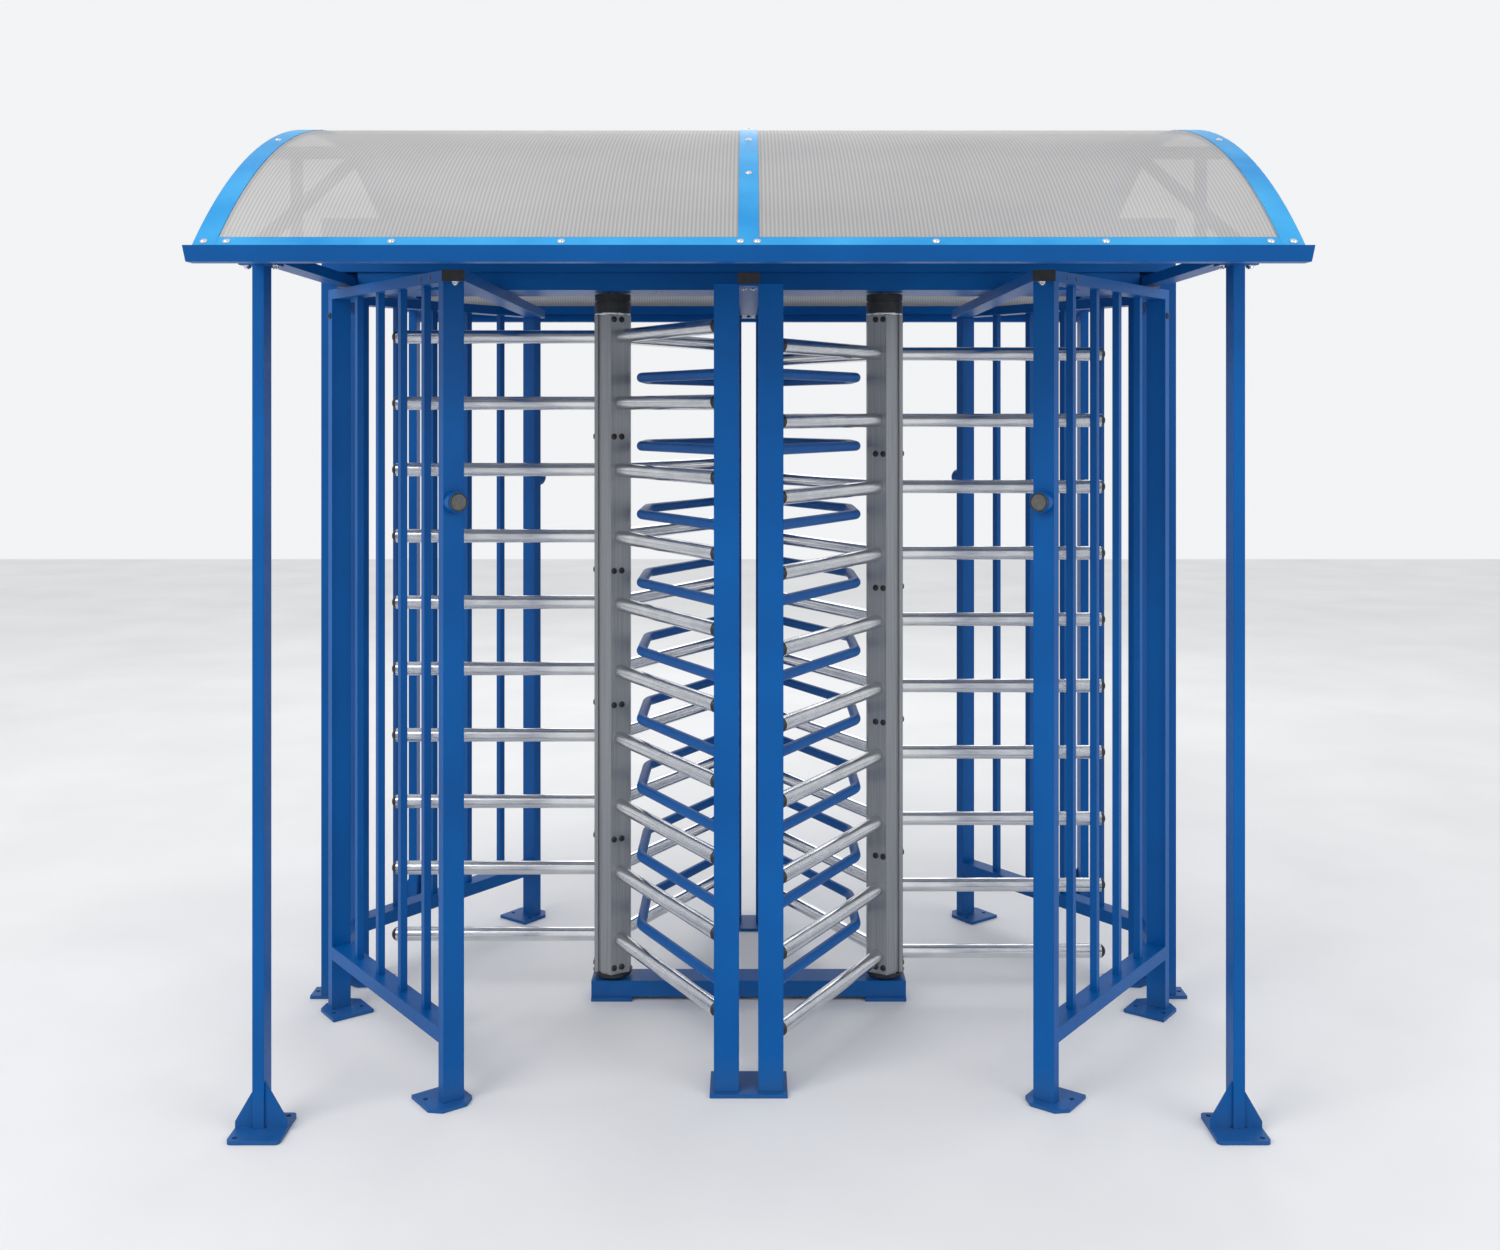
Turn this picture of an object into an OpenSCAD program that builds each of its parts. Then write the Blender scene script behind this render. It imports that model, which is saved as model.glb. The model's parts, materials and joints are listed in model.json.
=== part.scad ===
// Two-rotor full-height turnstile under a barrel-vaulted canopy.
// +X runs across the two walkways, +Y along them, Z = 0 is the floor.
// The left half is drawn; the right half is its mirror image, except for
// the lower arms of the right rotor.

/* [Rotors] */
// Distance of each rotor axis from the middle of the turnstile
rotor_x = 430; // [400:1:480]
// Across-flats width of the six-sided rotor column
column_af = 110; // [90:1:120]
// Diameter of an arm tube
arm_d = 42.4; // [33:0.1:44]
// Distance of the arm's tube end from the rotor axis
arm_reach = 684; // [600:1:690]
// Height of the arm's domed end cap
arm_cap_h = 15; // [8:1:15]
// Number of arm levels
arm_levels = 10; // [6:1:10]
// Height of the lowest arm of the left rotor
arm_low = 192; // [170:1:240]
// Rise from one arm level to the next
arm_pitch = 210; // [200:1:210]
// Drop of the right rotor's arms below the left rotor's
arm_stagger = 54; // [50:1:60]
// Diameter of the bearing pivots
pivot_d = 36; // [24:1:50]

/* [Comb] */
// Diameter of a comb loop's tube
loop_d = 30; // [20:1:34]
// Distance of a loop's straight middle from the middle of the turnstile
loop_x = 330; // [300:1:340]
// Half length of a loop's middle before its bends
loop_bend_y = 145; // [100:1:180]
// Bend radius of a loop at the tube's centre
loop_bend_r = 80; // [50:1:120]

/* [Centre frame] */
// Width of a square centre post
centre_post_w = 68; // [50:1:72]
// Gap between the two posts of a pair
centre_post_gap = 52; // [40:1:80]
// Distance of the posts' outer faces from the rotor plane
centre_post_y = 700; // [690:1:760]
// Size of a centre foot plate across the walkways
centre_foot_x = 210; // [200:1:260]
// Size of a centre foot plate along the walkways
centre_foot_y = 144; // [120:1:180]

/* [Side guards] */
// Inner guard post's distance from the middle
guard_x = 794; // [794:1:860]
// Inner guard post's distance from the rotor plane
guard_y = 740; // [740:1:800]
// Angle of the guard panel away from the walking direction
guard_angle = 37; // [34:1:40]
// Length of a guard panel between its post centres
guard_len = 780; // [700:1:800]
// Depth of guard posts and rails across the panel
guard_tube_w = 60; // [40:1:60]
// Thickness of guard posts and top rails
guard_tube_t = 30; // [20:1:40]
// Height of the bottom rail
bottom_rail_h = 40; // [25:1:50]
// Height of the bottom rail's top above the floor
bottom_rail_top = 203; // [150:1:260]
// Width of a square guard bar
bar_w = 20; // [12:1:30]
// Number of bars in a panel
bar_count = 4; // [2:1:5]
// Height of the readers' middles
reader_z = 1605; // [1000:1:1700]
// Height of the posts' tops
post_top = 2190; // [2150:1:2250]

/* [Head] */
// Height of the bearing box
head_base_h = 55; // [40:1:80]
// Half length of the bearing box
head_base_x = 1205; // [1100:1:1230]
// Half depth of the bearing box
head_base_y = 127; // [100:1:160]
// Height of the drive cover
head_cover_h = 165; // [120:1:200]
// Half length of the drive cover
head_cover_x = 1314; // [1280:1:1330]
// How far the drive cover stands out over the bearing box
head_lip = 8; // [2:1:20]
// Running gap of the rotors below the bearing box
running_gap = 5; // [5:1:8]

/* [Canopy] */
// Half length of the vault
roof_x = 1320; // [1318:1:1400]
// Outer radius of the vault
roof_r = 1741; // [1600:1:1900]
// Height of the vault's outer crown
crown_z = 2707; // [2700:1:2800]
// Half depth of the vault to its eaves
eave_y = 1190; // [1150:1:1250]
// Width of an end arch
arch_w = 54; // [40:1:80]
// Width of the centre arch
centre_arch_w = 50; // [40:1:80]
// Thickness of the arched bands
band_t = 12; // [10:1:16]
// Width of an eave rail
eave_rail_w = 27; // [20:1:40]
// Height of a gutter
gutter_h = 37; // [25:1:60]
// How far a gutter runs past the vault's end
gutter_over = 13; // [5:1:40]

/* [Canopy frame] */
// Corner post's outer face from the middle
corner_x = 1270; // [1262:1:1300]
// Corner post's centre from the rotor plane
corner_y = 877; // [860:1:900]
// Size of a corner post across the walkways
corner_post_x = 30; // [25:1:40]
// Size of a corner post along the walkways
corner_post_y = 60; // [50:1:80]
// Underside height of the canopy's beams
beam_z = 2229; // [2225:1:2232]
// Width of the canopy's beams
beam_w = 60; // [50:1:60]
// Height of the canopy's beams
beam_h = 30; // [20:1:35]
// Width of an eave beam along the walkways
eave_beam_w = 30; // [20:1:40]
// Purlin distance from the rotor plane
purlin_y = 630; // [560:1:700]
// Side of a square purlin
purlin_w = 30; // [20:1:35]
// Side post's outer face from the middle
side_post_x = 1345; // [1340:1:1370]

/* [Feet] */
// Thickness of every foot plate
foot_t = 10; // [8:1:15]
// Diameter of the holes in the foot plates
foot_hole_d = 14; // [10:1:18]

/* [Hidden] */
$fn = 48;

blue = [0.0, 0.33, 0.61];
steel = [0.75, 0.76, 0.77];
alu = [0.62, 0.63, 0.64];
black = [0.03, 0.03, 0.03];

// Heights that follow from the driving sizes
top_rail_top = post_top + guard_tube_t;
head_z = top_rail_top;
cover_z = head_z + head_base_h;
floor_beam_z = 12;
floor_beam_h = 50;
floor_beam_top = floor_beam_z + floor_beam_h;
cup_z = floor_beam_top + running_gap;
cup_h = 17;
column_z = cup_z + cup_h;
hub_top = head_z - running_gap;
hub_h = 58;
column_top = hub_top - hub_h - 8;
comb_low = arm_low + (arm_pitch - arm_stagger) / 2;

// Plan positions of the guard posts, left half
guard_out_x = guard_x + guard_len * sin(guard_angle);
guard_out_y = guard_y - guard_len * cos(guard_angle);
bar_step = guard_len / (bar_count + 1);
top_beam_x = guard_x - 13;
top_beam_y = guard_y + 38;

// The vault
vault_z = crown_z - roof_r;
function vault_top(y) = vault_z + sqrt(roof_r * roof_r - y * y);
function vault_under(y) =
    vault_z + sqrt((roof_r - band_t) * (roof_r - band_t) - y * y);
eave_rail_y = eave_y - eave_rail_w;
gutter_top = vault_top(eave_y);
// Rounded down to whole millimetres, so that faces meet exactly
eave_beam_y = floor(sqrt((roof_r - band_t) * (roof_r - band_t)
              - (beam_z + beam_h - vault_z) * (beam_z + beam_h - vault_z)))
              - eave_beam_w;
purlin_top = floor(vault_under(purlin_y + purlin_w / 2));
ridge_top = floor(vault_under(purlin_w / 2));
truss_x = corner_x - beam_w / 2;

module mirror_x() { children(); mirror([1, 0, 0]) children(); }
module mirror_y() { children(); mirror([0, 1, 0]) children(); }
module block(low, high) { translate(low) cube(high - low); }

// ---- Rotors --------------------------------------------------------------

// Faces look to 0, 60, 120 ... degrees; the arms leave the 60, 180 and 300
// ones, and the other three carry a groove
module column_outline() {
    flat_r = column_af / 2;
    groove_w = 13;
    groove_depth = 6;
    groove_s = 12;
    difference() {
        rotate(30) circle(r = flat_r / cos(30), $fn = 6);
        for (a = [0, 120, 240])
            rotate(a) translate([flat_r - groove_depth, -groove_s - groove_w / 2])
                square([2 * groove_depth, groove_w]);
    }
}

module rotor_column() {
    color(alu) translate([-rotor_x, 0, column_z])
        linear_extrude(height = column_top - column_z) column_outline();
}

module at_arms(drop) {
    for (level = [0 : arm_levels - 1], a = [60, 180, 300])
        translate([-rotor_x, 0, arm_low - drop + level * arm_pitch])
            rotate([0, 0, a]) rotate([0, 90, 0]) children();
}

module rotor_arms(drop) {
    color(steel) at_arms(drop)
        translate([0, 0, column_af / 2])
            cylinder(d = arm_d, h = arm_reach - column_af / 2);
}

module rotor_arm_caps(drop) {
    dome_r = (arm_d * arm_d / 4 + arm_cap_h * arm_cap_h) / (2 * arm_cap_h);
    color(black) at_arms(drop) translate([0, 0, arm_reach])
        intersection() {
            translate([0, 0, arm_cap_h - dome_r]) sphere(r = dome_r);
            cylinder(r = arm_d, h = 2 * arm_cap_h);
        }
}

module rotor_hubs() {
    hub_r = 57;
    ring_r = 53;
    color(black) translate([-rotor_x, 0, 0]) {
        // Two-part boss on the column's top, with its bright ring's seat
        translate([0, 0, column_top]) cylinder(r = ring_r, h = 8);
        difference() {
            translate([0, 0, column_top + 8]) cylinder(r = hub_r, h = hub_h);
            translate([0, 0, column_top + 8 + 34]) difference() {
                cylinder(r = hub_r + 1, h = 4);
                cylinder(r = hub_r - 4, h = 4);
            }
        }
        // Cup under the column
        translate([0, 0, cup_z]) rotate_extrude() polygon([
            [0, 0], [48, 0], [59, 6], [62, cup_h], [0, cup_h]
        ]);
    }
}

module rotor_pivots() {
    color(steel) mirror_x() translate([-rotor_x, 0, 0]) {
        translate([0, 0, floor_beam_top])
            cylinder(d = pivot_d, h = running_gap - 1);
        translate([0, 0, hub_top + 1])
            cylinder(d = pivot_d, h = running_gap - 1);
    }
}

module floor_beam() {
    half_x = 493;
    half_y = 50;
    pad_x = 128;
    color(blue) {
        block([-half_x, -half_y, floor_beam_z], [half_x, half_y, floor_beam_top]);
        mirror_x() block([-half_x, -half_y - 8, 0],
                         [-half_x + pad_x, half_y + 8, floor_beam_z]);
    }
}

// ---- Comb between the rotors ---------------------------------------------

module comb_loop() {
    post_mid = (centre_post_gap + centre_post_w) / 2;
    post_back = centre_post_y - centre_post_w;
    run = post_back - loop_bend_y;
    bend = atan((loop_x - post_mid) / run);
    cut_back = loop_bend_r * tan(bend / 2);
    leg = run / cos(bend) - cut_back;
    difference() {
        union() {
            translate([-loop_x, -loop_bend_y + cut_back, 0]) rotate([-90, 0, 0])
                cylinder(d = loop_d, h = 2 * (loop_bend_y - cut_back));
            mirror_y() translate([-loop_x + loop_bend_r, -loop_bend_y + cut_back, 0]) {
                rotate([0, 0, 180]) rotate_extrude(angle = bend)
                    translate([loop_bend_r, 0]) circle(d = loop_d);
                rotate([0, 0, bend]) translate([-loop_bend_r, 0, 0])
                    rotate([90, 0, 0]) cylinder(d = loop_d, h = leg + loop_d);
            }
        }
        mirror_y() block([-loop_x, -centre_post_y - loop_d, -loop_d],
                         [loop_d, -post_back, loop_d]);
    }
}

module comb_loops() {
    color(blue) for (level = [0 : arm_levels - 2])
        translate([0, 0, comb_low + level * arm_pitch]) comb_loop();
}

// ---- Centre frame --------------------------------------------------------

module centre_posts() {
    inner = centre_post_gap / 2;
    outer = inner + centre_post_w;
    back = centre_post_y - centre_post_w;
    plate_t = 6;
    color(blue) {
        mirror_x() block([-outer, -centre_post_y, foot_t],
                         [-inner, -back, post_top]);
        block([-outer, -centre_post_y, post_top - plate_t],
              [outer, -back, post_top]);
    }
}

module centre_feet() {
    front = centre_post_y + 16;
    hole_in = 24;
    color(blue) mirror_y() difference() {
        block([-centre_foot_x / 2, -front, 0],
              [centre_foot_x / 2, -front + centre_foot_y, foot_t]);
        mirror_x() translate([centre_foot_x / 2 - hole_in, -front + centre_foot_y - hole_in, -1])
            cylinder(d = foot_hole_d, h = foot_t + 2);
    }
}

module centre_top_beam() {
    color(blue) block([-guard_tube_w / 2, -centre_post_y, post_top],
                      [guard_tube_w / 2, centre_post_y, top_rail_top]);
}

// ---- Side guards ---------------------------------------------------------

// Local frame of the left front panel: +X across it towards the rotor,
// +Y from the inner post to the outer post
module at_inner_post() {
    translate([-guard_x, -guard_y, 0]) rotate([0, 0, guard_angle]) children();
}

module at_outer_post() {
    translate([-guard_out_x, -guard_out_y, 0]) rotate([0, 0, guard_angle])
        children();
}

module guard_post() {
    block([-guard_tube_w / 2, -guard_tube_t / 2, foot_t],
          [guard_tube_w / 2, guard_tube_t / 2, post_top]);
}

module guard_posts() {
    color(blue) mirror_y() { at_inner_post() guard_post(); at_outer_post() guard_post(); }
}

module guard_foot() {
    width = 128;
    length = 131;
    clip = 29;
    lead = 45;
    side = 75;
    hole_u = [-55, 33];
    difference() {
        translate([-side, -lead, 0]) linear_extrude(height = foot_t) polygon([
            [clip, 0], [width - clip, 0], [width, clip],
            [width, length], [0, length], [0, clip]
        ]);
        for (u = hole_u) translate([u, 40, -1])
            cylinder(d = foot_hole_d, h = foot_t + 2);
    }
}

module guard_feet() {
    color(blue) mirror_x() mirror_y() {
        at_inner_post() guard_foot();
        at_outer_post() rotate([0, 0, 180]) guard_foot();
    }
}

module guard_panel() {
    half_w = guard_tube_w / 2;
    start = guard_tube_t / 2;
    end = guard_len - guard_tube_t / 2;
    color(blue) {
        at_inner_post() {
            block([-half_w, start, bottom_rail_top - bottom_rail_h],
                  [half_w, end, bottom_rail_top]);
            for (i = [1 : bar_count])
                block([-bar_w / 2, i * bar_step - bar_w / 2, bottom_rail_top],
                      [bar_w / 2, i * bar_step + bar_w / 2, post_top]);
        }
        // The top rail lies on both posts and stops at the long top beam
        difference() {
            at_inner_post() block([-half_w, -start, post_top],
                                  [half_w, guard_len + start, top_rail_top]);
            block([-top_beam_x - half_w, -guard_y - 100, post_top - 1],
                  [0, guard_y, top_rail_top + 1]);
        }
    }
}

module side_ties() {
    half_x = 15;
    color(blue) mirror_x() difference() {
        for (top = [bottom_rail_top, post_top])
            block([-guard_out_x - half_x, -guard_out_y, top - 30],
                  [-guard_out_x + half_x, guard_out_y, top]);
        mirror_y() at_outer_post() guard_post();
    }
}

module guard_top_beams() {
    half_w = guard_tube_w / 2;
    color(blue) mirror_x()
        block([-top_beam_x - half_w, -top_beam_y, post_top],
              [-top_beam_x + half_w, top_beam_y, top_rail_top]);
}

module beam_end_caps() {
    cap_t = 4;
    half_w = guard_tube_w / 2;
    color(black) mirror_y() {
        mirror_x()
            block([-top_beam_x - half_w, -top_beam_y - cap_t, post_top],
                  [-top_beam_x + half_w, -top_beam_y, top_rail_top]);
        block([-half_w, -centre_post_y - cap_t, post_top],
              [half_w, -centre_post_y, top_rail_top]);
    }
}

// ---- Head ----------------------------------------------------------------

module head_base_box() {
    color(blue) block([-head_base_x, -head_base_y, head_z],
                      [head_base_x, head_base_y, cover_z]);
}

module head_drive_cover() {
    color(blue) block([-head_cover_x, -head_base_y - head_lip, cover_z],
                      [head_cover_x, head_base_y + head_lip, cover_z + head_cover_h]);
}

// ---- Canopy frame --------------------------------------------------------

module corner_posts() {
    half_y = corner_post_y / 2;
    plate_t = 8;
    color(blue) mirror_x() mirror_y() {
        block([-corner_x, -corner_y - half_y, foot_t],
              [-corner_x + corner_post_x, -corner_y + half_y, beam_z - plate_t]);
        block([-corner_x - 36, -corner_y - half_y, beam_z - plate_t],
              [-corner_x + 62, -corner_y + half_y, beam_z]);
    }
}

module corner_foot() {
    plate = [135, 155];
    origin = [-corner_x - 46, -corner_y - 95];
    round_r = 12;
    rise = tan(60);
    lip = 17;
    gusset_t = 6;
    gusset_y = -corner_y - corner_post_y / 2 + 6;
    hole_in = 18;
    difference() {
        translate([origin[0], origin[1], 0]) linear_extrude(height = foot_t) {
            translate([round_r, 0]) square([plate[0] - 2 * round_r, plate[1]]);
            translate([0, round_r]) square([plate[0], plate[1] - 2 * round_r]);
            for (x = [round_r, plate[0] - round_r], y = [round_r, plate[1] - round_r])
                translate([x, y]) circle(r = round_r);
        }
        for (h = [[hole_in, hole_in], [plate[0] - hole_in, plate[1] - hole_in]])
            translate([origin[0] + h[0], origin[1] + h[1], -1])
                cylinder(d = foot_hole_d, h = foot_t + 2);
    }
    for (side = [[-corner_x, -1, 46], [-corner_x + corner_post_x, 1, 59]])
        translate([side[0], gusset_y, foot_t]) rotate([90, 0, 0])
            translate([0, 0, -gusset_t])
            linear_extrude(height = gusset_t) scale([side[1], 1]) polygon([
                [0, 6], [6, 0], [side[2], 0], [side[2], lip],
                [0, lip + rise * side[2]]
            ]);
}

module corner_feet() {
    color(blue) mirror_x() mirror_y() corner_foot();
}

module side_posts() {
    half_y = corner_post_y / 2;
    color(blue) mirror_x() {
        block([-side_post_x, -half_y, foot_t],
              [-side_post_x + corner_post_x, half_y, beam_z]);
        difference() {
            block([-side_post_x - 33, -half_y - 7, 0],
                  [-side_post_x + corner_post_x + 33, half_y + 7, foot_t]);
            translate([-side_post_x - 17, 0, -1])
                cylinder(d = foot_hole_d, h = foot_t + 2);
            translate([-side_post_x + corner_post_x + 17, 0, -1])
                cylinder(d = foot_hole_d, h = foot_t + 2);
        }
        // Bracket plate that carries the side beam
        block([-side_post_x, -half_y, beam_z],
              [-corner_x, half_y, beam_z + beam_h]);
    }
}

module canopy_side_beams() {
    end = eave_beam_y;
    seat_y = 60;
    color(blue) mirror_x() {
        block([-corner_x, -end, beam_z], [-corner_x + beam_w, end, beam_z + beam_h]);
        block([-corner_x, -seat_y, beam_z], [-corner_x + beam_w, seat_y, cover_z]);
    }
}

module eave_beam() {
    color(blue) block([-roof_x + 17, -eave_beam_y - eave_beam_w, beam_z],
                      [roof_x - 17, -eave_beam_y, beam_z + beam_h]);
}

// Right half of an end truss: a rafter and the upright below the purlin
module truss_side() {
    foot_y = 1010;
    base_z = beam_z + beam_h;
    ridge_under = ridge_top - purlin_w;
    rise = (ridge_under - base_z) / foot_y;
    across = 27 * sqrt(1 + rise * rise);
    polygon([
        [foot_y, base_z], [0, ridge_under], [0, ridge_under - across],
        [foot_y - across / rise, base_z]
    ]);
    translate([purlin_y - 13, base_z]) square([26, purlin_top - purlin_w - base_z]);
}

module end_trusses() {
    thick = 27;
    color(blue) mirror_x() translate([-truss_x - thick / 2, 0, 0])
        rotate([90, 0, 90]) linear_extrude(height = thick) {
            truss_side();
            mirror([1, 0]) truss_side();
        }
}

module roof_purlins() {
    half_x = roof_x - 17;
    half_w = purlin_w / 2;
    color(blue) {
        mirror_y() block([-half_x, -purlin_y - half_w, purlin_top - purlin_w],
                         [half_x, -purlin_y + half_w, purlin_top]);
        block([-half_x, -half_w, ridge_top - purlin_w], [half_x, half_w, ridge_top]);
    }
}

// ---- Vault ---------------------------------------------------------------

// A strip of the vault between two radii and between two Y values
module vault_strip(x0, x1, r_in, r_out, y0, y1) {
    translate([x0, 0, 0]) rotate([90, 0, 90]) linear_extrude(height = x1 - x0)
        intersection() {
            translate([0, vault_z]) difference() {
                circle(r = r_out, $fn = 180);
                circle(r = r_in, $fn = 180);
            }
            translate([y0, vault_z]) square([y1 - y0, roof_r + 10]);
        }
}

module roof_sheet() {
    color([0.75, 0.75, 0.75])
        vault_strip(-roof_x + arch_w, -centre_arch_w / 2, roof_r - band_t,
                    roof_r - 2, -eave_rail_y, eave_rail_y);
}

module end_arch() {
    color(blue) vault_strip(-roof_x, -roof_x + arch_w, roof_r - band_t, roof_r,
                            -eave_y, eave_y);
}

module centre_arch() {
    half_w = centre_arch_w / 2;
    color(blue) vault_strip(-half_w, half_w, roof_r - band_t, roof_r,
                            -eave_y, eave_y);
}

module eave_rails() {
    x0 = -roof_x + arch_w;
    color(blue) mirror_y() mirror_x()
        vault_strip(x0, -centre_arch_w / 2, roof_r - band_t, roof_r,
                    -eave_y, -eave_rail_y);
}

module gutter() {
    wall = 2;
    flare = 22;
    half_x = roof_x + gutter_over;
    front = eave_y + 3;
    low = gutter_top - gutter_h;
    back = eave_beam_y + eave_beam_w;
    color(blue) translate([-half_x, 0, 0]) rotate([90, 0, 90])
        linear_extrude(height = 2 * half_x) polygon([
            [-front - flare, gutter_top], [-front, low], [-back, low],
            [-back, gutter_top], [-back - wall, gutter_top],
            [-back - wall, low + wall], [-front + wall, low + wall],
            [-front - flare + wall, gutter_top]
        ]);
}

// ---- Readers -------------------------------------------------------------

module reader_housings() {
    color(blue) mirror_x() mirror_y() at_inner_post()
        translate([0, -guard_tube_t / 2, reader_z]) rotate([90, 0, 0])
            cylinder(d = 58, h = 26);
}

module reader_faces() {
    color([0.25, 0.25, 0.24]) mirror_x() mirror_y() at_inner_post()
        translate([0, -guard_tube_t / 2 - 26, reader_z]) rotate([90, 0, 0])
            cylinder(d = 50, h = 4);
}

rotor_column();  // left_rotor_column
rotor_arms(0);  // left_rotor_arms
rotor_arm_caps(0);  // left_rotor_arm_caps
rotor_hubs();  // left_rotor_hubs
mirror([1, 0, 0]) rotor_column();  // right_rotor_column
mirror([1, 0, 0]) rotor_arms(arm_stagger);  // right_rotor_arms
mirror([1, 0, 0]) rotor_arm_caps(arm_stagger);  // right_rotor_arm_caps
mirror([1, 0, 0]) rotor_hubs();  // right_rotor_hubs
floor_beam();
rotor_pivots();
comb_loops();  // left_comb_loops
mirror([1, 0, 0]) comb_loops();  // right_comb_loops
centre_posts();  // front_centre_posts
mirror([0, 1, 0]) centre_posts();  // rear_centre_posts
centre_feet();
centre_top_beam();
guard_posts();  // left_guard_posts
mirror([1, 0, 0]) guard_posts();  // right_guard_posts
guard_feet();
guard_panel();  // left_front_guard_panel
mirror([0, 1, 0]) guard_panel();  // left_rear_guard_panel
mirror([1, 0, 0]) guard_panel();  // right_front_guard_panel
rotate([0, 0, 180]) guard_panel();  // right_rear_guard_panel
side_ties();
guard_top_beams();
beam_end_caps();
head_base_box();
head_drive_cover();
corner_posts();
corner_feet();
side_posts();
canopy_side_beams();
eave_beam();  // front_eave_beam
mirror([0, 1, 0]) eave_beam();  // rear_eave_beam
gutter();  // front_gutter
mirror([0, 1, 0]) gutter();  // rear_gutter
eave_rails();
end_arch();  // left_end_arch
mirror([1, 0, 0]) end_arch();  // right_end_arch
centre_arch();
roof_sheet();  // left_roof_sheet
mirror([1, 0, 0]) roof_sheet();  // right_roof_sheet
roof_purlins();
end_trusses();
reader_housings();
reader_faces();
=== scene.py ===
import bpy, bmesh, json, math
from mathutils import Vector, Matrix


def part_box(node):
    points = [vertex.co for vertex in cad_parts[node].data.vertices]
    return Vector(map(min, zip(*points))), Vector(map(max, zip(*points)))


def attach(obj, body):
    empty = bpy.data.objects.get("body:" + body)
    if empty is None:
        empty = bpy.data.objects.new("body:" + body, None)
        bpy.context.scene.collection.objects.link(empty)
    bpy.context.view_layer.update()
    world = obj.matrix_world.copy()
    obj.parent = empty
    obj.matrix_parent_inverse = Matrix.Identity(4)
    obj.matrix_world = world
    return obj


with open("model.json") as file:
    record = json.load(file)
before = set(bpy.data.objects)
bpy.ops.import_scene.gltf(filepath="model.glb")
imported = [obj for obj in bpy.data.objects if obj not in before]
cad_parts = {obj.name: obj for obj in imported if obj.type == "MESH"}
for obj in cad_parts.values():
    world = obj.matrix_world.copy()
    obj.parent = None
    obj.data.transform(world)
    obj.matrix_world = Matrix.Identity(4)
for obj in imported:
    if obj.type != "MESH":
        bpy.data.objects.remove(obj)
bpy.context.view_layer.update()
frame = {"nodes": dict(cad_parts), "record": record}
scene = bpy.context.scene

# ---- Camera, light and floor ------------------------------------------------

cam_data = bpy.data.cameras.new("camera")
cam_data.sensor_width = 36.0
cam_data.lens = 35.76
cam_data.shift_x = 0.0009
cam_data.shift_y = -0.1417
cam_data.clip_end = 60.0
cam = bpy.data.objects.new("camera", cam_data)
cam.location = (0.0, -4.7185, 1.84275)
cam.rotation_euler = (math.radians(90), 0, 0)
scene.collection.objects.link(cam)
scene.camera = cam
scene.view_settings.view_transform = "Standard"


def area(name, where, target, size, power, tint=(1, 1, 1)):
    data = bpy.data.lights.new(name, "AREA")
    data.shape = "RECTANGLE"
    data.size, data.size_y = size
    data.energy = power
    data.color = tint
    lamp = bpy.data.objects.new(name, data)
    lamp.location = where
    aim = Vector(target) - Vector(where)
    lamp.rotation_euler = aim.to_track_quat("-Z", "Y").to_euler()
    scene.collection.objects.link(lamp)


area("key", (-4.5, -5.0, 6.0), (0, 0, 1.2), (4.0, 4.0), 240, (1.0, 0.98, 0.96))
area("fill", (5.0, -4.5, 4.0), (0, 0, 1.1), (4.0, 4.0), 90, (0.95, 0.98, 1.0))
area("back", (0.5, 6.0, 5.0), (0, 0, 1.5), (5.0, 3.0), 90)

world = bpy.data.worlds.new("studio")
world.use_nodes = True
world.node_tree.nodes["Background"].inputs[0].default_value = (0.97, 0.98, 1.0, 1)
world.node_tree.nodes["Background"].inputs[1].default_value = 0.92
scene.world = world


# ---- Materials --------------------------------------------------------------

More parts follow.
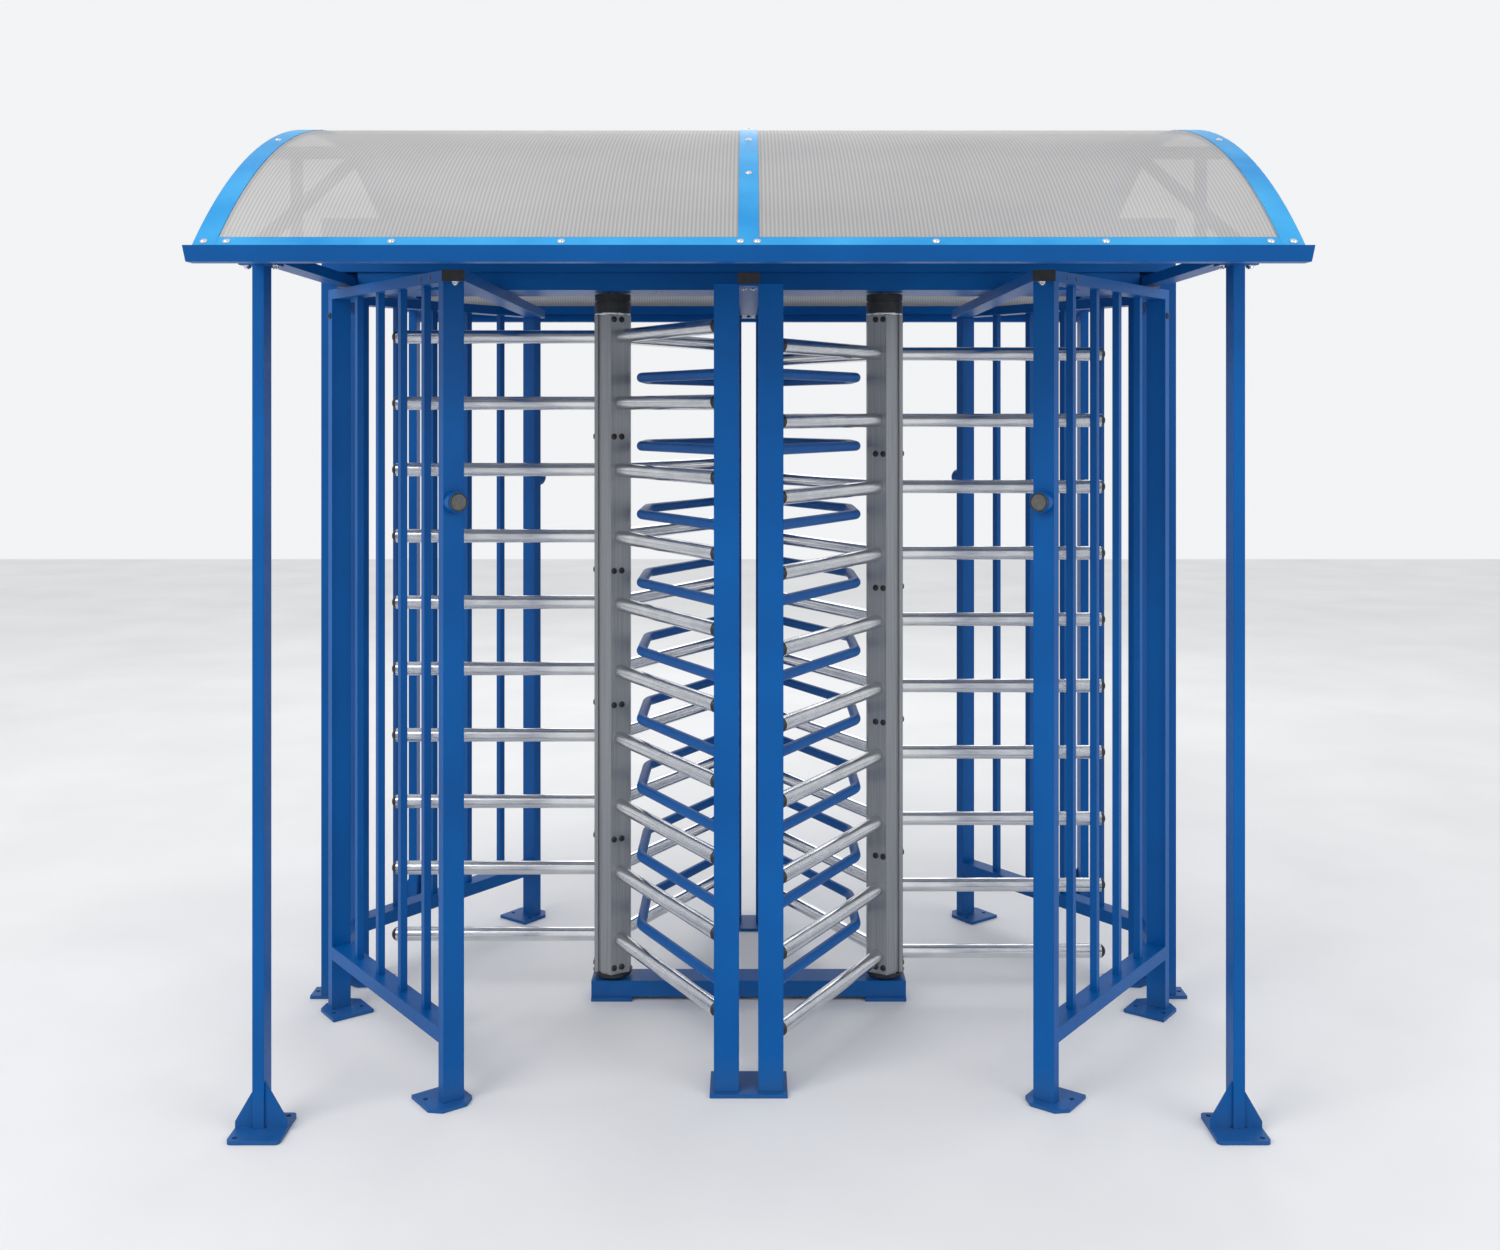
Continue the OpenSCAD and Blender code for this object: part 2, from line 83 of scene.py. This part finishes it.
class Mat:
    """A small helper that wires one procedural material."""

    def __init__(self, name):
        self.m = bpy.data.materials.new(name)
        self.m.use_nodes = True
        self.nt = self.m.node_tree
        self.p = self.nt.nodes["Principled BSDF"]
        self.tc = self.nt.nodes.new("ShaderNodeTexCoord")

    def new(self, kind, **sockets):
        n = self.nt.nodes.new(kind)
        for k, v in sockets.items():
            n.inputs[k].default_value = v
        return n

    def link(self, a, b):
        self.nt.links.new(a, b)

    def noise(self, scale, detail=3.0, stretch=(1, 1, 1)):
        mp = self.new("ShaderNodeMapping")
        mp.inputs["Scale"].default_value = stretch
        self.link(self.tc.outputs["Object"], mp.inputs["Vector"])
        n = self.new("ShaderNodeTexNoise", Scale=scale, Detail=detail)
        self.link(mp.outputs["Vector"], n.inputs["Vector"])
        return n.outputs["Fac"]

    def ramp(self, fac, stops):
        r = self.new("ShaderNodeValToRGB")
        e = r.color_ramp.elements
        while len(e) < len(stops):
            e.new(0.5)
        for el, (at, col) in zip(e, stops):
            el.position = at
            el.color = (*col, 1)
        self.link(fac, r.inputs["Fac"])
        return r.outputs["Color"]

    def mix(self, fac, a, b):
        n = self.nt.nodes.new("ShaderNodeMix")
        n.data_type = "RGBA"
        self.link(fac, n.inputs[0])
        for sock, v in ((n.inputs[6], a), (n.inputs[7], b)):
            if isinstance(v, tuple):
                sock.default_value = (*v, 1)
            else:
                self.link(v, sock)
        return n.outputs[2]

    def rough(self, fac, low, high):
        r = self.new("ShaderNodeMapRange")
        r.inputs["To Min"].default_value = low
        r.inputs["To Max"].default_value = high
        self.link(fac, r.inputs["Value"])
        self.link(r.outputs["Result"], self.p.inputs["Roughness"])

    def bump(self, fac, strength, distance=0.001, bevel=0.0):
        b = self.new("ShaderNodeBump", Strength=strength, Distance=distance)
        self.link(fac, b.inputs["Height"])
        if bevel:
            v = self.nt.nodes.new("ShaderNodeBevel")
            v.samples = 3
            v.inputs["Radius"].default_value = bevel
            self.link(v.outputs["Normal"], b.inputs["Normal"])
        self.link(b.outputs["Normal"], self.p.inputs["Normal"])

    def height(self, low, high):
        """0 at the height low, 1 at the height high, in metres."""
        sep = self.nt.nodes.new("ShaderNodeSeparateXYZ")
        self.link(self.tc.outputs["Object"], sep.inputs[0])
        r = self.new("ShaderNodeMapRange")
        r.inputs["From Min"].default_value = low
        r.inputs["From Max"].default_value = high
        self.link(sep.outputs["Z"], r.inputs["Value"])
        return r.outputs["Result"]


def blue_paint(name, main, light, foot_dust_and_shade=True):
    m = Mat(name)
    tone = m.ramp(m.noise(3.0, 4.0), [(0.35, main), (0.7, light)])
    fine = m.noise(240.0, 2.0)
    tone = m.mix(m.ramp(fine, [(0.45, (0, 0, 0)), (0.8, (0.10, 0.10, 0.10))]), tone, light)
    # Painted shade and dust: below 0.11 m the paint is mixed to a darker, greyer tone near the
    # feet, painted shade where the floor meets the posts, mixed with dust
    if foot_dust_and_shade:
        dust_and_shade = m.mix(m.noise(26.0, 5.0), (0.03, 0.10, 0.26), tone)
        tone = m.mix(m.height(0.0, 0.11), dust_and_shade, tone)
    m.link(tone, m.p.inputs["Base Color"])
    m.rough(m.noise(60.0, 3.0), 0.32, 0.46)
    m.bump(m.noise(900.0, 1.0), 0.10, 0.0006, bevel=0.0022)
    m.p.inputs["Specular IOR Level"].default_value = 0.14
    return m.m


BLUE = blue_paint("blue_powder_coat", (0.000, 0.078, 0.290), (0.000, 0.096, 0.345))
ROOF_BLUE = blue_paint("blue_strip", (0.010, 0.230, 0.560), (0.050, 0.380, 0.720), False)

m = Mat("polished_stainless")
m.link(m.ramp(m.noise(14.0, 4.0), [(0.3, (0.62, 0.63, 0.64)), (0.7, (0.74, 0.75, 0.76))]),
       m.p.inputs["Base Color"])
m.p.inputs["Metallic"].default_value = 1.0
m.rough(m.noise(90.0, 4.0), 0.15, 0.26)
m.bump(m.noise(700.0, 2.0), 0.06, 0.0004)
STEEL = m.m

m = Mat("drawn_aluminium")
lines = m.noise(320.0, 2.0, (1.0, 1.0, 0.01))
m.link(m.ramp(lines, [(0.3, (0.26, 0.27, 0.28)), (0.7, (0.34, 0.35, 0.36))]),
       m.p.inputs["Base Color"])
m.p.inputs["Metallic"].default_value = 0.55
m.rough(lines, 0.34, 0.48)
m.bump(lines, 0.12, 0.0004, bevel=0.0025)
ALU = m.m

m = Mat("black_polymer")
m.link(m.ramp(m.noise(60.0, 4.0), [(0.3, (0.008, 0.008, 0.009)), (0.8, (0.022, 0.022, 0.024))]),
       m.p.inputs["Base Color"])
m.rough(m.noise(40.0, 3.0), 0.36, 0.52)
m.bump(m.noise(1100.0, 1.0), 0.15, 0.0005)
BLACK = m.m

m = Mat("dark_disc")
m.link(m.ramp(m.noise(90.0, 3.0), [(0.3, (0.075, 0.076, 0.070)), (0.8, (0.120, 0.122, 0.112))]),
       m.p.inputs["Base Color"])
m.rough(m.noise(50.0, 3.0), 0.40, 0.55)
m.bump(m.noise(900.0, 1.0), 0.10, 0.0005)
DISC = m.m

# Multiwall sheet: a cell wall every 10 mm, running along the curve
m = Mat("multiwall_sheet")
sep = m.nt.nodes.new("ShaderNodeSeparateXYZ")
m.link(m.tc.outputs["Object"], sep.inputs[0])
mul = m.nt.nodes.new("ShaderNodeMath")
mul.operation = "MULTIPLY"
mul.inputs[1].default_value = 2 * math.pi / 0.010
m.link(sep.outputs["X"], mul.inputs[0])
sine = m.nt.nodes.new("ShaderNodeMath")
sine.operation = "SINE"
m.link(mul.outputs[0], sine.inputs[0])
ribs = m.new("ShaderNodeMapRange")
ribs.inputs["From Min"].default_value = -1.0
m.link(sine.outputs[0], ribs.inputs["Value"])
cells = m.ramp(ribs.outputs["Result"], [(0.25, (0.54, 0.53, 0.525)), (0.85, (0.42, 0.415, 0.41))])
cloud = m.ramp(m.noise(2.2, 5.0), [(0.3, (0.88, 0.88, 0.88)), (0.7, (1.0, 1.0, 1.0))])
tint = m.nt.nodes.new("ShaderNodeMix")
tint.data_type = "RGBA"
tint.blend_type = "MULTIPLY"
tint.inputs[0].default_value = 1.0
m.link(cells, tint.inputs[6])
m.link(cloud, tint.inputs[7])
m.link(tint.outputs[2], m.p.inputs["Base Color"])
m.p.inputs["Alpha"].default_value = 0.72
m.p.inputs["Specular IOR Level"].default_value = 0.20
m.rough(m.noise(30.0, 3.0), 0.48, 0.60)
m.bump(ribs.outputs["Result"], 0.10, 0.0004)
ROOF = m.m

SLOT_MATS = {
    "blue_paint": BLUE, "stainless": STEEL, "column_aluminium": ALU,
    "black_plastic": BLACK, "roof_sheet": ROOF, "dark_disc": DISC,
}
STRIPS = {"left_end_arch", "right_end_arch", "centre_arch", "eave_rails"}
for sub in frame["record"]["subparts"]:
    node = frame["nodes"][sub["node"]]
    chosen = ROOF_BLUE if sub["node"] in STRIPS else SLOT_MATS[sub["material_slot"]]
    for ms in node.material_slots:
        ms.material = chosen


# ---- Small parts ------------------------------------------------------------

def lathe_ring(bm, profile, place, sides=28):
    """Turns (radius, height) points in mm about the local Z of place."""
    rows = []
    for r, z in profile:
        if r == 0:
            rows.append([bm.verts.new(place @ Vector((0, 0, z / 1000)))])
        else:
            rows.append([bm.verts.new(place @ Vector((
                r / 1000 * math.cos(2 * math.pi * i / sides),
                r / 1000 * math.sin(2 * math.pi * i / sides), z / 1000)))
                for i in range(sides)])
    for a, b in zip(rows, rows[1:]):
        for i in range(sides):
            j = (i + 1) % sides
            if len(a) == 1:
                bm.faces.new((a[0], b[j], b[i]))
            elif len(b) == 1:
                bm.faces.new((a[i], a[j], b[0]))
            else:
                bm.faces.new((a[i], a[j], b[j], b[i]))


def turned(name, profile, places, mat, body, sides=28):
    bm = bmesh.new()
    for place in places:
        lathe_ring(bm, profile, place, sides)
    bmesh.ops.recalc_face_normals(bm, faces=bm.faces)
    mesh = bpy.data.meshes.new(name)
    bm.to_mesh(mesh)
    bm.free()
    for poly in mesh.polygons:
        poly.use_smooth = True
    mesh.materials.append(mat)
    obj = bpy.data.objects.new(name, mesh)
    scene.collection.objects.link(obj)
    mod = obj.modifiers.new("edges", "EDGE_SPLIT")
    mod.split_angle = math.radians(38)
    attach(obj, body)
    return obj


def at(point_mm, normal):
    """A frame whose local Z is the normal, at a point in mm."""
    turn = Vector(normal).normalized().to_track_quat("Z", "Y").to_matrix().to_4x4()
    return Matrix.Translation(Vector(point_mm) / 1000) @ turn


# Domed head with a hexagon socket, seated on a washer
SCREW = [(0, 3.0), (3.2, 3.2), (3.6, 6.2), (6.0, 6.0), (8.0, 4.4), (9.3, 1.8), (9.5, 0.0)]
DOME = [(0, 5.0), (3.0, 4.7), (5.5, 3.4), (6.8, 1.6), (7.0, 1.4), (9.0, 1.2), (9.2, 0.0)]
NUT = [(0, 9.0), (5.0, 9.0), (5.2, 6.8), (9.5, 6.6), (9.6, 1.8), (12.0, 1.6), (12.2, 0.0)]

ROTORS = {
    "left_rotor": (-430, 1, [2134, 1767, 1347, 927, 507, 104.5]),
    "right_rotor": (430, -1, [2134, 1713, 1293, 873, 453, 104.5]),
}
for body, (x, hand, heights) in ROTORS.items():
    places = []
    for face in (60, 180, 300):
        a = math.radians(face if hand > 0 else 180 - face)
        out = Vector((math.cos(a), math.sin(a), 0))
        side = Vector((-math.sin(a), math.cos(a), 0)) * hand
        for z in heights:
            for s in (-21, 5):
                spot = Vector((x, 0, z)) + out * 55 + side * s
                places.append(at(spot, out))
    turned(body + "_bolts", SCREW, places, BLACK, body)
    ring = [(53.2, 0), (55.6, 0.6), (56.2, 2.0), (56.2, 6.0), (55.6, 7.4), (53.2, 8.0)]
    turned(body + "_bright_ring", ring,
           [Matrix.Translation(Vector((x, 0, 2149)) / 1000)], STEEL, body, 64)
# Vault screws, square to the curve
ZC, R = 966.0, 1741.0


def on_vault(x, y):
    n = Vector((0, y, math.sqrt(R * R - y * y))) / R
    return at(Vector((x, 0, ZC)) + n * R, n)


places = []
for sy in (-1, 1):
    for sx in (-1, 1):
        for x in (1296, 1242, 850, 446, 20):
            places.append(on_vault(sx * x, sy * 1176))
        for y in (624, 200):
            places.append(on_vault(sx * 1293, sy * y))
    for y in (900, 624, 300):
        places.append(on_vault(0, sy * y))
turned("vault_screws", DOME, places, STEEL, "frame")

# Bolts that hold the head, the beams and the corner posts
places = []
for sx in (-1, 1):
    for sy in (-1, 1):
        for x in (1292, 1221):
            places.append(at((sx * x, sy * 877, 2221), (0, 0, -1)))
        places.append(at((sx * 781, sy * 757, 2190), (0, 0, -1)))
        places.append(at((sx * 14, sy * 600, 2190), (0, 0, -1)))
turned("frame_bolts", NUT, places, STEEL, "frame")

# Dark plugs in the ends of the top rails' outer faces
c, s = math.cos(math.radians(37)), math.sin(math.radians(37))
PLUG = [(0, 0.7), (6.5, 0.6), (7.4, 0.0)]
places = []
for sx in (-1, 1):
    for sy in (-1, 1):
        out = Vector((sx * c, sy * s, 0))
        base = Vector((sx * 794, sy * 740, 2205))
        along = Vector((sx * s, -sy * c, 0))
        for d in (70, 128):
            places.append(at(base + along * d + out * 30, out))
turned("rail_plugs", PLUG, places, BLACK, "frame")

# Black discs as painted shade for the small holes under the bearing box, in groups of four
HOLE_SHADE_DISC = [(0, 0.5), (3.8, 0.4), (4.3, 0.0)]
under_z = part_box("head_base_box")[0][2] * 1000
places = [at((sx * 280 + dx, y, under_z), (0, 0, -1))
          for sx in (-1, 1) for dx in (-9, 9) for y in (-70, -48)]
turned("box_hole_shade_discs", HOLE_SHADE_DISC, places, BLACK, "frame")

# Black bolts where the top rails meet the outer posts
places = []
for sx in (-1, 1):
    for sy in (-1, 1):
        out = Vector((sx * c, sy * s, 0))
        base = Vector((sx * 794, sy * 740, 2140)) + Vector((sx * s, -sy * c, 0)) * 780
        places.append(at(base + out * 30, out))
turned("rail_bolts", SCREW, places, BLACK, "frame")

# A rim round each reader face
RIM = [(21.5, 0.6), (22.2, 2.2), (24.2, 2.4), (25.0, 0.2)]
places = []
for sx in (-1, 1):
    for sy in (-1, 1):
        out = Vector((-sx * s, sy * c, 0))
        places.append(at(Vector((sx * 794, sy * 740, 1605)) + out * 45, out))
turned("reader_rims", RIM, places, BLACK, "frame", 48)

# ---- Floor ------------------------------------------------------------------

bm = bmesh.new()
bmesh.ops.create_grid(bm, x_segments=2, y_segments=2, size=14)
mesh = bpy.data.meshes.new("floor")
bm.to_mesh(mesh)
bm.free()
m = Mat("pale_floor")
m.link(m.ramp(m.noise(1.2, 4.0), [(0.3, (0.74, 0.74, 0.74)), (0.7, (0.80, 0.80, 0.80))]),
       m.p.inputs["Base Color"])
m.p.inputs["Roughness"].default_value = 0.9
mesh.materials.append(m.m)
floor = bpy.data.objects.new("floor", mesh)
scene.collection.objects.link(floor)
floor.location = (0, 0, -0.0005)
